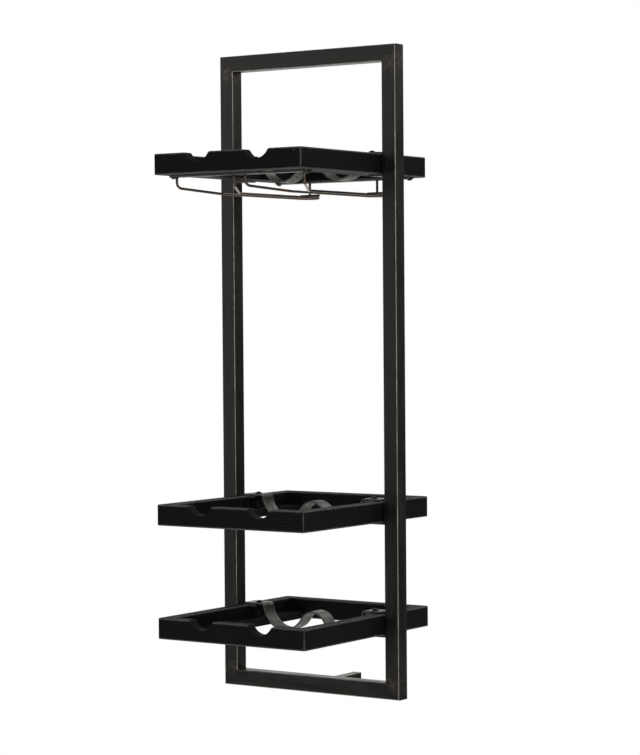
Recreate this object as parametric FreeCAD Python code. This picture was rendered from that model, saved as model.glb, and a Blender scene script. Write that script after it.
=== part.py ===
import FreeCAD, Part
import math
import os

# Wall-hung wine rack: a tall welded square-tube frame, three open wooden
# trays that pass through it, bent flat-bar bottle cradles, and a stemware
# rack of bent wire under the top tray.
#
# All sizes are millimetres. While it is built, the model has X = 0 on the
# middle plane, Y = 0 on the front of the frame with +Y towards the wall, and
# Z = 0 on the underside of the frame. The export moves the origin to the
# middle of the two wall-screw holes, on the wall plane.

Vector = FreeCAD.Vector
X_AXIS = Vector(1, 0, 0)
Y_AXIS = Vector(0, 1, 0)
Z_AXIS = Vector(0, 0, 1)

# Frame: mitred and welded square steel tube.
frame_width = 330.0
frame_height = 1000.0
tube_size = 25.0
tube_wall = 1.5
tube_corner_radius = 2.0

# Trays: four boards each, open above and below.
tray_bottoms = {"lower": 98.0, "middle": 271.0, "upper": 803.0}
tray_side_gap = 4.0
tray_depth = 345.0
wall_distance = 110.0
board_height = 32.0
board_thickness = 18.0
board_edge_radius = 1.5
tray_corner_radius = 4.5

# Bottle-neck notches in the front boards.
bay_pitch = 109.0
notch_depth = 14.0
notch_bottom_radius = 24.0
notch_shoulder_radius = 5.0

# Cleats glued along the side boards' inner faces, flush underneath.
cleat_width = 28.0
cleat_height = 12.0
cleat_edge_radius = 1.0
cleat_pocket_clearance = 0.2
cleat_strap_clearance = 0.5

# Dowels in the glued butt joints of the boards.
dowel_diameter = 6.0
dowel_length = 20.0
dowel_end_gap = 0.5
dowel_radial_clearance = 0.05
dowel_spacing = 10.0

# Wall screws through the rear board of the upper tray.
wall_screw_spacing = 160.0
wall_screw_hole_diameter = 5.5

# Bottle cradle strap: flat bar bent into two valleys.
strap_width = 28.0
strap_thickness = 3.0
strap_front_inset = 8.0
strap_valley_drop = 3.0
strap_peak_drop = 7.5
strap_bend_radius = 4.0
strap_flat_past_bolt = 6.0
strap_board_overlap = 12.0
strap_edge_radius = 0.6

# Brackets: flat bar that runs from the upright under a side board, up its
# inner face and out again under the end of the strap.
bracket_width = 28.0
bracket_thickness = 3.0
bracket_inner_bend = 1.0

# Bolts and nuts that hold the strap ends to the brackets.
bolt_diameter = 5.0
bolt_clearance = 0.5
bolt_head_diameter = 12.0
bolt_head_height = 3.2
bolt_tip_length = 2.0
nut_across_flats = 8.0
nut_height = 4.0
nut_thread_clearance = 0.1
nut_bend_clearance = 0.1
bolt_setback = 20.0

# Stand-off arm from the bottom rail to the wall.
arm_size = 15.0
arm_wall = 1.5
arm_corner_radius = 1.0
arm_cap_flange = 1.5
arm_cap_plug = 10.0
arm_cap_clearance = 0.1

# Stemware rack: two strips under the upper tray and two bent-wire rails.
strip_width = 18.0
strip_thickness = 3.0
strip_end_inset = 6.0
front_strip_distance = 26.0
rear_strip_distance = 22.0
wire_diameter = 4.0
wire_bend_radius = 9.0
rail_outer_post_inset = 12.0
rail_inner_post_gap = 21.0
rail_gap_width = 32.0
rail_post_drop = 16.0
rail_flare_drop = 8.0
rail_flare_length = 65.0
rail_tail_length = 14.0

# Wood screws that hold the strips to the side boards.
strip_screw_inset = 5.5
strip_screw_diameter = 3.5
strip_screw_clearance = 0.15
strip_screw_length = 10.0
strip_screw_head_diameter = 7.0
strip_screw_head_height = 2.2

# Sizes that follow from the ones above.
half_frame = frame_width / 2
inner_face = half_frame - tube_size
half_tray = inner_face - tray_side_gap
tray_inner = half_tray - board_thickness
wall_y = tube_size + wall_distance
tray_front = wall_y - tray_depth
front_board_back = tray_front + board_thickness
rear_board_front = wall_y - board_thickness
strap_middle_y = strap_front_inset + strap_width / 2
upper_bottom = tray_bottoms["upper"]
wall_screw_height = upper_bottom + board_height / 2
nut_setback = bracket_thickness + bracket_inner_bend + nut_bend_clearance
bolt_x = tray_inner - nut_setback - nut_across_flats / 2
bracket_flange_end = bolt_x - bolt_head_diameter / 2
strap_shoulder_x = bracket_flange_end - strap_flat_past_bolt
wire_radius = wire_diameter / 2
strip_length = 2 * (half_tray - strip_end_inset)
rail_outer_x = strip_length / 2 - rail_outer_post_inset
rail_inner_x = rail_inner_post_gap / 2
rail_middle_x = (rail_outer_x + rail_inner_x) / 2


def box(x_range, y_range, z_range):
    """A box between the given limits."""
    size = [high - low for low, high in (x_range, y_range, z_range)]
    return Part.makeBox(*size, Vector(x_range[0], y_range[0], z_range[0]))


def cylinder(radius, length, start, direction):
    """A cylinder that starts at a point and runs along a direction."""
    return Part.makeCylinder(radius, length, start, direction)


def edges_along(shape, direction):
    """The straight edges of a shape that run along a direction."""
    found = []
    for edge in shape.Edges:
        if not isinstance(edge.Curve, Part.Line):
            continue
        if abs(abs(edge.Curve.Direction.dot(direction)) - 1) < 1e-6:
            found.append(edge)
    return found


def rounded_bar(x_range, y_range, z_range, radius, direction):
    """A box whose long edges, along the direction, are rounded."""
    bar = box(x_range, y_range, z_range)
    return bar.makeFillet(radius, edges_along(bar, direction))


def prism_y(outline, y_range):
    """A prism along Y from an outline of (x, z) corners."""
    corners = [Vector(x, y_range[0], z) for x, z in outline]
    face = Part.Face(Part.makePolygon(corners + corners[:1]))
    return face.extrude(Vector(0, y_range[1] - y_range[0], 0))


def mirrored(shape):
    """The mirror image of a shape in the middle plane."""
    return shape.mirror(Vector(0, 0, 0), X_AXIS)


def export(name, solids):
    """Write one node, as one solid or as a group of separate solids."""
    if not isinstance(solids, list):
        solids = [solids]
    moved = []
    for solid in solids:
        copy = solid.copy()
        copy.translate(Vector(0, -wall_y, -wall_screw_height))
        moved.append(copy)
    shape = moved[0] if len(moved) == 1 else Part.makeCompound(moved)
    if not shape.isValid():
        raise ValueError(name + " is not a valid shape")
    shape.exportStep(os.path.join("parts", name + ".step"))


# ----------------------------------------------------------------- frame

def hollow_bar(x_range, z_range, direction):
    """A full-length square tube with rounded long edges."""
    y_range = (0.0, tube_size)
    outer = rounded_bar(x_range, y_range, z_range, tube_corner_radius, direction)
    limits = []
    for low, high in (x_range, y_range, z_range):
        limits.append([low + tube_wall, high - tube_wall])
    along = 0 if direction == X_AXIS else 2
    limits[along] = [limits[along][0] - 2 * tube_wall, limits[along][1] + 2 * tube_wall]
    return outer.cut(box(*limits))


def upright():
    """The right upright, mitred at both ends."""
    bar = hollow_bar((inner_face, half_frame), (0.0, frame_height), Z_AXIS)
    outline = [
        (half_frame, 0.0),
        (half_frame, frame_height),
        (inner_face, frame_height - tube_size),
        (inner_face, tube_size),
    ]
    return bar.common(prism_y(outline, (-tube_size, 2 * tube_size)))


def rail(outer_z, inner_z):
    """A top or bottom rail, mitred at both ends."""
    z_range = (min(outer_z, inner_z), max(outer_z, inner_z))
    bar = hollow_bar((-half_frame, half_frame), z_range, X_AXIS)
    outline = [
        (-half_frame, outer_z),
        (half_frame, outer_z),
        (inner_face, inner_z),
        (-inner_face, inner_z),
    ]
    return bar.common(prism_y(outline, (-tube_size, 2 * tube_size)))


def build_frame():
    """The four welded members of the frame."""
    right = upright()
    export("upright_right", right)
    export("upright_left", mirrored(right))
    export("bottom_rail", rail(0.0, tube_size))
    export("top_rail", rail(frame_height, frame_height - tube_size))


def build_wall_arm():
    """The stand-off arm under the bottom rail's back, and its end cap."""
    half = arm_size / 2
    tube_end = wall_y - arm_cap_flange
    x_range = (-half, half)
    z_range = (0.0, arm_size)
    outer = rounded_bar(x_range, (tube_size, tube_end), z_range, arm_corner_radius, Y_AXIS)
    inside = half - arm_wall
    bore = box((-inside, inside), (tube_size, tube_end), (arm_wall, arm_size - arm_wall))
    export("wall_arm", outer.cut(bore))

    flange = rounded_bar(x_range, (tube_end, wall_y), z_range, arm_corner_radius, Y_AXIS)
    plug_half = inside - arm_cap_clearance
    plug_z = (arm_wall + arm_cap_clearance, arm_size - arm_wall - arm_cap_clearance)
    plug = box((-plug_half, plug_half), (tube_end - arm_cap_plug, tube_end), plug_z)
    export("wall_arm_cap", flange.fuse(plug).removeSplitter())


# ----------------------------------------------------------------- trays

def notch_tool(x_middle, top):
    """The space that a neck notch takes out of a front board."""
    centre_z = top - notch_depth + notch_bottom_radius
    shoulder_z = top - notch_shoulder_radius
    centre_distance = notch_bottom_radius + notch_shoulder_radius
    rise = centre_z - shoulder_z
    shoulder_x = math.sqrt(centre_distance ** 2 - rise ** 2)
    tangent_angle = math.atan2(-rise, shoulder_x)
    y = tray_front - board_thickness

    def on_bottom(angle):
        x = x_middle + notch_bottom_radius * math.cos(angle)
        return Vector(x, y, centre_z + notch_bottom_radius * math.sin(angle))

    def on_shoulder(side, angle):
        x = x_middle + side * (shoulder_x + notch_shoulder_radius * math.cos(angle))
        return Vector(x, y, shoulder_z + notch_shoulder_radius * math.sin(angle))

    above = Vector(0, 0, board_height)
    facing = math.pi + tangent_angle
    halfway = (facing + math.pi / 2) / 2
    right_top = on_shoulder(1, math.pi / 2)
    left_top = on_shoulder(-1, math.pi / 2)
    right_low = on_bottom(tangent_angle)
    left_low = on_bottom(math.pi - tangent_angle)
    edges = [
        Part.Arc(left_top, on_shoulder(-1, halfway), left_low).toShape(),
        Part.Arc(left_low, on_bottom(-math.pi / 2), right_low).toShape(),
        Part.Arc(right_low, on_shoulder(1, halfway), right_top).toShape(),
        Part.LineSegment(right_top, right_top + above).toShape(),
        Part.LineSegment(right_top + above, left_top + above).toShape(),
        Part.LineSegment(left_top + above, left_top).toShape(),
    ]
    face = Part.Face(Part.Wire(edges))
    return face.extrude(Vector(0, 3 * board_thickness, 0))


def dowel_points(bottom):
    """Start points of a tray's dowels, and the way each one runs."""
    places = []
    middle = bottom + board_height / 2
    heights = (middle - dowel_spacing / 2, middle + dowel_spacing / 2)
    reach = dowel_length / 2
    for side in (-1, 1):
        x = side * (half_tray - board_thickness / 2)
        for z in heights:
            places.append(Vector(x, front_board_back - reach, z))
            places.append(Vector(x, rear_board_front - reach, z))
    return places


def dowel_holes(bottom):
    """The holes that a tray's dowels sit in, a little deeper than they are."""
    radius = dowel_diameter / 2 + dowel_radial_clearance
    length = dowel_length + 2 * dowel_end_gap
    gap = Vector(0, dowel_end_gap, 0)
    return [cylinder(radius, length, start - gap, Y_AXIS) for start in dowel_points(bottom)]


def side_board(x_range, bottom):
    """A side board, eased along its length and square at its glued ends."""
    y_range = (front_board_back, rear_board_front)
    z_range = (bottom, bottom + board_height)
    return rounded_bar(x_range, y_range, z_range, board_edge_radius, Y_AXIS)


def side_cleat(bottom):
    """The right cleat, clear of the bracket behind it and the strap beside it."""
    x_range = (tray_inner - cleat_width, tray_inner)
    y_range = (front_board_back, rear_board_front)
    z_range = (bottom, bottom + cleat_height)
    bar = rounded_bar(x_range, y_range, z_range, cleat_edge_radius, Y_AXIS)
    gap = cleat_pocket_clearance
    pocket_x = (tray_inner - bracket_thickness - gap, tray_inner + gap)
    pocket = box(pocket_x, (-gap, bracket_width + gap), (bottom - gap, bottom + board_height))
    room = cleat_strap_clearance
    valley_x, valley_height, valley_radius = strap_arcs()["valley"]
    start = Vector(valley_x, strap_front_inset - room, bottom + valley_height)
    reach = valley_radius + strap_thickness / 2 + room
    sweep = cylinder(reach, strap_width + 2 * room, start, Y_AXIS)
    return bar.cut(pocket).cut(sweep)


def cross_board(outer_y, inner_y, bottom, notched):
    """A front or rear board with rounded outer corners and eased edges.

    The two upright edges on the inner face stay square, because the side
    boards' ends are glued flush with them.
    """
    y_range = (min(outer_y, inner_y), max(outer_y, inner_y))
    blank = box((-half_tray, half_tray), y_range, (bottom, bottom + board_height))
    corners = []
    for edge in edges_along(blank, Z_AXIS):
        if abs(edge.CenterOfMass.y - outer_y) < 1e-6:
            corners.append(edge)
    blank = blank.makeFillet(tray_corner_radius, corners)
    if notched:
        for side in (-1, 1):
            blank = blank.cut(notch_tool(side * bay_pitch / 2, bottom + board_height))
    eased = []
    for edge in blank.Edges:
        if edge.BoundBox.ZLength < board_height - 1e-6:
            eased.append(edge)
    return blank.makeFillet(board_edge_radius, eased)


def strip_screw_places():
    """The X and Y of the screws that hold the stemware strips."""
    places = []
    for y in (front_strip_y(), rear_strip_y()):
        for side in (-1, 1):
            places.append((side * (strip_length / 2 - strip_screw_inset), y))
    return places


def build_trays():
    """The boards of the three trays, and all of their dowels."""
    dowels = []
    for level, bottom in tray_bottoms.items():
        boards = {
            "front_board": cross_board(tray_front, front_board_back, bottom, True),
            "rear_board": cross_board(wall_y, rear_board_front, bottom, False),
            "left_board": side_board((-half_tray, -tray_inner), bottom),
            "right_board": side_board((tray_inner, half_tray), bottom),
        }
        holes = Part.makeCompound(dowel_holes(bottom))
        for name, shape in boards.items():
            shape = shape.cut(holes)
            if level == "upper":
                shape = shape.cut(Part.makeCompound(upper_tray_holes()))
            export(level + "_" + name, shape)
        cleat = side_cleat(bottom)
        export(level + "_side_cleats", [mirrored(cleat), cleat])
        for start in dowel_points(bottom):
            dowels.append(cylinder(dowel_diameter / 2, dowel_length, start, Y_AXIS))
    export("tray_dowels", dowels)


def upper_tray_holes():
    """Wall-screw holes and strip-screw holes in the upper tray."""
    holes = []
    for side in (-1, 1):
        start = Vector(side * wall_screw_spacing / 2, rear_board_front - 1, wall_screw_height)
        holes.append(cylinder(wall_screw_hole_diameter / 2, board_thickness + 2, start, Y_AXIS))
    for x, y in strip_screw_places():
        start = Vector(x, y, upper_bottom)
        radius = strip_screw_diameter / 2 + strip_screw_clearance
        depth = strip_screw_length - strip_thickness + 1
        holes.append(cylinder(radius, depth, start, Z_AXIS))
    return holes


# ------------------------------------------------- straps and brackets

def strap_arcs():
    """Centres, radii and tangent angles of the strap's centre line.

    Heights are counted from the tray's bottom. The valley touches the shoulder
    bends and the middle peak, so its radius and the peak's follow from them.
    """
    half = strap_thickness / 2
    end_z = board_height + half
    valley_z = -strap_valley_drop - half
    peak_z = end_z - strap_peak_drop
    valley_x = bay_pitch / 2
    bend = strap_bend_radius
    run = strap_shoulder_x - valley_x
    drop = end_z - valley_z
    valley_radius = (run ** 2 + drop ** 2 - 2 * drop * bend) / (2 * drop)
    rise = peak_z - valley_z
    peak_radius = (valley_x ** 2 + rise ** 2 - 2 * rise * valley_radius) / (2 * rise)
    return {
        "shoulder": (strap_shoulder_x, end_z - bend, bend),
        "valley": (valley_x, valley_z + valley_radius, valley_radius),
        "peak": (0.0, peak_z - peak_radius, peak_radius),
    }


def strap_line(offset):
    """One face of the strap, as arcs from the left end to the right end."""
    arcs = strap_arcs()
    sx, sz, s_radius = arcs["shoulder"]
    vx, vz, v_radius = arcs["valley"]
    px, pz, p_radius = arcs["peak"]
    outer_turn = math.atan2(sz - vz, sx - vx)
    inner_turn = math.atan2(pz - vz, px - vx)
    end_x = tray_inner + strap_board_overlap
    end_z = sz + s_radius + offset

    def point(centre_x, centre_z, radius, angle):
        return (centre_x + radius * math.cos(angle), centre_z + radius * math.sin(angle))

    s_radius = s_radius + offset
    v_radius = v_radius - offset
    p_radius = p_radius + offset
    top = math.pi / 2
    from_shoulder = outer_turn + math.pi
    from_peak = inner_turn + math.pi
    low_turn = -top
    right = [
        ("arc", (0.0, pz + p_radius), point(px, pz, p_radius, (top + from_peak) / 2),
         point(px, pz, p_radius, from_peak)),
        ("arc", point(vx, vz, v_radius, inner_turn), point(vx, vz, v_radius, low_turn),
         point(vx, vz, v_radius, outer_turn)),
        ("arc", point(sx, sz, s_radius, from_shoulder),
         point(sx, sz, s_radius, (from_shoulder + top) / 2), (sx, sz + s_radius)),
        ("line", (sx, end_z), None, (end_x, end_z)),
    ]
    return right


def strap(bottom):
    """A bottle cradle strap, with a bolt hole near each end."""
    half = strap_thickness / 2
    upper = strap_line(half)
    lower = strap_line(-half)

    def place(point, side):
        return Vector(side * point[0], strap_front_inset, bottom + point[1])

    def edges(pieces, side):
        made = []
        for kind, start, middle, end in pieces:
            first = place(start, side)
            last = place(end, side)
            if kind == "arc":
                made.append(Part.Arc(first, place(middle, side), last).toShape())
            else:
                made.append(Part.LineSegment(first, last).toShape())
        return made

    outline = []
    for side in (-1, 1):
        outline += edges(upper, side) + edges(lower, side)
        end_top = place(upper[-1][3], side)
        end_low = place(lower[-1][3], side)
        outline.append(Part.LineSegment(end_top, end_low).toShape())
    wire = Part.Wire(Part.sortEdges(outline)[0])
    solid = Part.Face(wire).extrude(Vector(0, strap_width, 0))
    solid = solid.makeFillet(strap_edge_radius, long_edges(solid, strap_front_inset, strap_width))
    for side in (-1, 1):
        start = Vector(side * bolt_x, bolt_setback, bottom)
        radius = (bolt_diameter + bolt_clearance) / 2
        solid = solid.cut(cylinder(radius, 2 * board_height, start, Z_AXIS))
    return solid


def long_edges(solid, front, width):
    """The edges of a bent bar that lie in its front or back plane."""
    found = []
    for edge in solid.Edges:
        low = edge.BoundBox.YMin
        high = edge.BoundBox.YMax
        if high - low > width / 2:
            continue
        if min(abs(low - front), abs(high - front - width)) < 1e-6:
            found.append(edge)
    return found


def bracket(bottom):
    """The right bracket of a tray: a flat bar bent round the side board."""
    leg_inside = tray_inner - bracket_thickness
    flange_end = bracket_flange_end
    top = bottom + board_height
    outer_bend = bracket_inner_bend + bracket_thickness
    outline = [
        (inner_face, bottom - bracket_thickness),
        (leg_inside, bottom - bracket_thickness),
        (leg_inside, top - bracket_thickness),
        (flange_end, top - bracket_thickness),
        (flange_end, top),
        (tray_inner, top),
        (tray_inner, bottom),
        (inner_face, bottom),
    ]
    solid = prism_y(outline, (0.0, bracket_width))
    bends = {
        (leg_inside, bottom - bracket_thickness): outer_bend,
        (tray_inner, bottom): bracket_inner_bend,
        (leg_inside, top - bracket_thickness): bracket_inner_bend,
        (tray_inner, top): outer_bend,
    }
    for (x, z), radius in bends.items():
        corner = []
        for edge in edges_along(solid, Y_AXIS):
            middle = edge.CenterOfMass
            if abs(middle.x - x) < 1e-6 and abs(middle.z - z) < 1e-6:
                corner.append(edge)
        solid = solid.makeFillet(radius, corner)
    start = Vector(bolt_x, bolt_setback, top - 2 * bracket_thickness)
    hole = cylinder((bolt_diameter + bolt_clearance) / 2, 3 * bracket_thickness, start, Z_AXIS)
    return solid.cut(hole)


def bolt(side, bottom):
    """A dome-headed bolt through a strap end and the bracket flange."""
    seat = bottom + board_height + strap_thickness
    grip = strap_thickness + bracket_thickness + nut_height + bolt_tip_length
    base = Vector(side * bolt_x, bolt_setback, seat)
    shank = cylinder(bolt_diameter / 2, grip, base - Vector(0, 0, grip), Z_AXIS)
    head_radius = bolt_head_diameter / 2
    dome_radius = (head_radius ** 2 + bolt_head_height ** 2) / (2 * bolt_head_height)
    ball = Part.makeSphere(dome_radius, base + Vector(0, 0, bolt_head_height - dome_radius))
    head = ball.common(cylinder(head_radius, bolt_head_height, base, Z_AXIS))
    return shank.fuse(head).removeSplitter()


def nut(side, bottom):
    """A hexagon nut under the bracket flange, one flat facing the board."""
    top = bottom + board_height - bracket_thickness
    centre = Vector(side * bolt_x, bolt_setback, top - nut_height)
    corner_radius = nut_across_flats / math.sqrt(3)
    corners = []
    for index in range(6):
        angle = math.radians(30 + 60 * index)
        reach = Vector(math.cos(angle), math.sin(angle), 0) * corner_radius
        corners.append(centre + reach)
    hexagon = Part.Face(Part.makePolygon(corners + corners[:1]))
    body = hexagon.extrude(Vector(0, 0, nut_height))
    bore = cylinder(bolt_diameter / 2 + nut_thread_clearance, nut_height, centre, Z_AXIS)
    return body.cut(bore)


def build_cradles():
    """Straps, brackets, bolts and nuts of the three trays."""
    bolts = []
    nuts = []
    for level, bottom in tray_bottoms.items():
        export(level + "_bottle_strap", strap(bottom))
        right = bracket(bottom)
        export(level + "_bracket_right", right)
        export(level + "_bracket_left", mirrored(right))
        for side in (-1, 1):
            bolts.append(bolt(side, bottom))
            nuts.append(nut(side, bottom))
    export("strap_bolts", bolts)
    export("strap_nuts", nuts)


# ---------------------------------------------------------- stemware rack

def front_strip_y():
    """The middle line of the front strip."""
    return front_board_back + front_strip_distance - strip_width / 2


def rear_strip_y():
    """The middle line of the rear strip."""
    return rear_board_front - rear_strip_distance + strip_width / 2


def strip(y):
    """A flat strip with round ends, screwed under the side boards."""
    half = strip_width / 2
    straight = strip_length / 2 - half
    bottom = upper_bottom - strip_thickness
    z_range = (bottom, upper_bottom)
    solid = box((-straight, straight), (y - half, y + half), z_range)
    for side in (-1, 1):
        end = cylinder(half, strip_thickness, Vector(side * straight, y, bottom), Z_AXIS)
        solid = solid.fuse(end)
    solid = solid.removeSplitter()
    radius = strip_screw_diameter / 2 + strip_screw_clearance
    for x, screw_y in strip_screw_places():
        hole = cylinder(radius, 2 * strip_thickness, Vector(x, screw_y, bottom - 1), Z_AXIS)
        solid = solid.cut(hole)
    return solid


def strip_screw(x, y):
    """A pan-head wood screw, head down, through a strip into a side board."""
    seat = upper_bottom - strip_thickness
    base = Vector(x, y, seat)
    head_radius = strip_screw_head_diameter / 2
    head_start = base - Vector(0, 0, strip_screw_head_height)
    head = cylinder(head_radius, strip_screw_head_height, head_start, Z_AXIS)
    rim = [edge for edge in head.Edges if abs(edge.CenterOfMass.z - head_start.z) < 1e-6]
    head = head.makeFillet(strip_screw_head_height * 0.6, rim)
    shank_radius = strip_screw_diameter / 2
    shank_length = strip_screw_length - strip_screw_diameter
    shank = cylinder(shank_radius, shank_length, base, Z_AXIS)
    tip_start = base + Vector(0, 0, shank_length)
    tip = Part.makeCone(shank_radius, 0.0, strip_screw_diameter, tip_start, Z_AXIS)
    return head.fuse(shank).fuse(tip).removeSplitter()


def rounded_path(points, radius):
    """Straight runs through the points, joined by tangent arcs."""
    edges = []
    start = points[0]
    for before, corner, after in zip(points, points[1:], points[2:]):
        back = (before - corner).normalize()
        ahead = (after - corner).normalize()
        half_angle = back.getAngle(ahead) / 2
        setback = radius / math.tan(half_angle)
        arc_start = corner + back * setback
        arc_end = corner + ahead * setback
        bisector = (back + ahead).normalize()
        to_centre = radius / math.sin(half_angle)
        arc_middle = corner + bisector * (to_centre - radius)
        edges.append(Part.LineSegment(start, arc_start).toShape())
        edges.append(Part.Arc(arc_start, arc_middle, arc_end).toShape())
        start = arc_end
    edges.append(Part.LineSegment(start, points[-1]).toShape())
    return edges


def rail_heights():
    """Heights of a rail's post top, its post foot and its long runs."""
    post_top = upper_bottom - strip_thickness
    post_foot = post_top - rail_post_drop
    return post_top, post_foot, post_foot - rail_flare_drop


def rail_end_y():
    """Where the round end of a rail begins."""
    return rear_strip_y() + rail_tail_length - wire_radius - rail_gap_width / 2


def stem_rail(side):
    """A wire rail: two posts, a flared mouth, two runs and a round end."""
    middle = side * rail_middle_x
    post_top, post_foot, run_z = rail_heights()
    front_y = front_strip_y()
    run_start = front_y + rail_flare_length
    run_end = rail_end_y()
    half_mouth = (rail_outer_x - rail_inner_x) / 2
    half_gap = rail_gap_width / 2

    def half_path(turn):
        points = [
            Vector(middle + turn * half_mouth, front_y, post_top),
            Vector(middle + turn * half_mouth, front_y, post_foot),
            Vector(middle + turn * half_gap, run_start, run_z),
            Vector(middle + turn * half_gap, run_end, run_z),
        ]
        return rounded_path(points, wire_bend_radius)

    left = half_path(-1)
    right = half_path(1)
    end_left = Vector(middle - half_gap, run_end, run_z)
    end_back = Vector(middle, run_end + half_gap, run_z)
    end_right = Vector(middle + half_gap, run_end, run_z)
    turn_arc = Part.Arc(end_left, end_back, end_right).toShape()
    path = Part.Wire(Part.sortEdges(left + [turn_arc] + right)[0])
    start = Vector(middle - half_mouth, front_y, post_top)
    section = Part.Wire(Part.makeCircle(wire_radius, start, Z_AXIS))
    return path.makePipeShell([section], True, True)


def stem_hanger(side):
    """A rear hanger: a post from the rear strip and a tie on the two runs."""
    middle = side * rail_middle_x
    post_top, post_foot, run_z = rail_heights()
    y = rear_strip_y()
    tie_z = run_z + wire_diameter
    post = cylinder(wire_radius, post_top - tie_z, Vector(middle, y, tie_z), Z_AXIS)
    tie_half = rail_gap_width / 2 + wire_radius
    tie = cylinder(wire_radius, 2 * tie_half, Vector(middle - tie_half, y, tie_z), X_AXIS)
    return post.fuse(tie).removeSplitter()


def build_stemware_rack():
    """Strips, their screws, wire rails and rear hangers."""
    export("stem_front_strip", strip(front_strip_y()))
    export("stem_rear_strip", strip(rear_strip_y()))
    export("strip_screws", [strip_screw(x, y) for x, y in strip_screw_places()])
    export("stem_rail_left", stem_rail(-1))
    export("stem_rail_right", stem_rail(1))
    export("stem_hangers", [stem_hanger(side) for side in (-1, 1)])


os.makedirs("parts", exist_ok=True)
build_frame()
build_wall_arm()
build_trays()
build_cradles()
build_stemware_rack()
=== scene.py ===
import logging
import math
import random
from dataclasses import dataclass
from enum import Enum
from typing import Any

import bpy
from mathutils import Matrix, Vector


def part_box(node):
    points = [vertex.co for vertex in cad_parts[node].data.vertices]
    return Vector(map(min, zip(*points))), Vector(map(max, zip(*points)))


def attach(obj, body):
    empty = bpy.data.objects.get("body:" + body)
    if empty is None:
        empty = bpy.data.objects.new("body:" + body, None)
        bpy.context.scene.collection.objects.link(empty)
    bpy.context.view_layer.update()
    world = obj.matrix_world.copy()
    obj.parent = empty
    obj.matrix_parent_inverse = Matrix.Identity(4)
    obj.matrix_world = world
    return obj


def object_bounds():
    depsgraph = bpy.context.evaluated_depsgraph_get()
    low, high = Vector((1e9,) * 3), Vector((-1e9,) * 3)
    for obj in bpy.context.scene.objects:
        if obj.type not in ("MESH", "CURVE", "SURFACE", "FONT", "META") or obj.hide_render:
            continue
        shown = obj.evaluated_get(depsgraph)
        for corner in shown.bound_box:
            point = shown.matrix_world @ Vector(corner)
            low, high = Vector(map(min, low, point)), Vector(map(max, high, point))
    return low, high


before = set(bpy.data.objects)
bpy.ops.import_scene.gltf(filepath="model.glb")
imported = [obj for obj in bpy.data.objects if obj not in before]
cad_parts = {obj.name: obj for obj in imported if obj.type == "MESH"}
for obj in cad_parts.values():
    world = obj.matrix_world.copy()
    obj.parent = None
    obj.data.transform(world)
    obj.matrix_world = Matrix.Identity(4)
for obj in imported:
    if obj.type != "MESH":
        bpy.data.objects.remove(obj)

CAD_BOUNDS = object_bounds()
MM = 0.001
LOG = logging.getLogger("wine_rack")

Box = tuple[Vector, Vector]
Socket = bpy.types.NodeSocket
Tree = bpy.types.NodeTree


# ------------------------------------------------------------------ helpers

class Axis(Enum):
    """A direction of the row frame, by the index of its coordinate."""

    X = 0
    Y = 1
    Z = 2


def linear(colour: str) -> tuple[float, float, float, float]:
    """Turn an sRGB hex colour into linear values.

    Args:
        colour: A colour such as "2b2a28".

    Returns:
        Linear red, green, blue and an alpha of one.
    """
    channels = []
    for start in (0, 2, 4):
        value = int(colour[start:start + 2], 16) / 255
        if value <= 0.04045:
            channels.append(value / 12.92)
        else:
            channels.append(((value + 0.055) / 1.055) ** 2.4)
    return (channels[0], channels[1], channels[2], 1.0)


def add_node(
    tree: Tree,
    kind: str,
    settings: dict[str, Any] | None = None,
    inputs: dict[int | str, Any] | None = None,
) -> bpy.types.Node:
    """Add one node with its settings and its links.

    Args:
        tree: The node tree that gets the node.
        kind: The node's type, such as "ShaderNodeMath".
        settings: Attribute names and their values.
        inputs: Input names or numbers, each with a socket to link or a constant.

    Returns:
        The new node.
    """
    node = tree.nodes.new(kind)
    for name, value in (settings or {}).items():
        setattr(node, name, value)
    for key, value in (inputs or {}).items():
        if isinstance(value, bpy.types.NodeSocket):
            tree.links.new(value, node.inputs[key])
        else:
            node.inputs[key].default_value = value
    return node


class Level(Enum):
    """The three trays, from the bottom up."""

    LOWER = "lower"
    MIDDLE = "middle"
    UPPER = "upper"


class Side(Enum):
    """Left or right, as seen from the front, with its sign along X."""

    LEFT = -1
    RIGHT = 1


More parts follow.
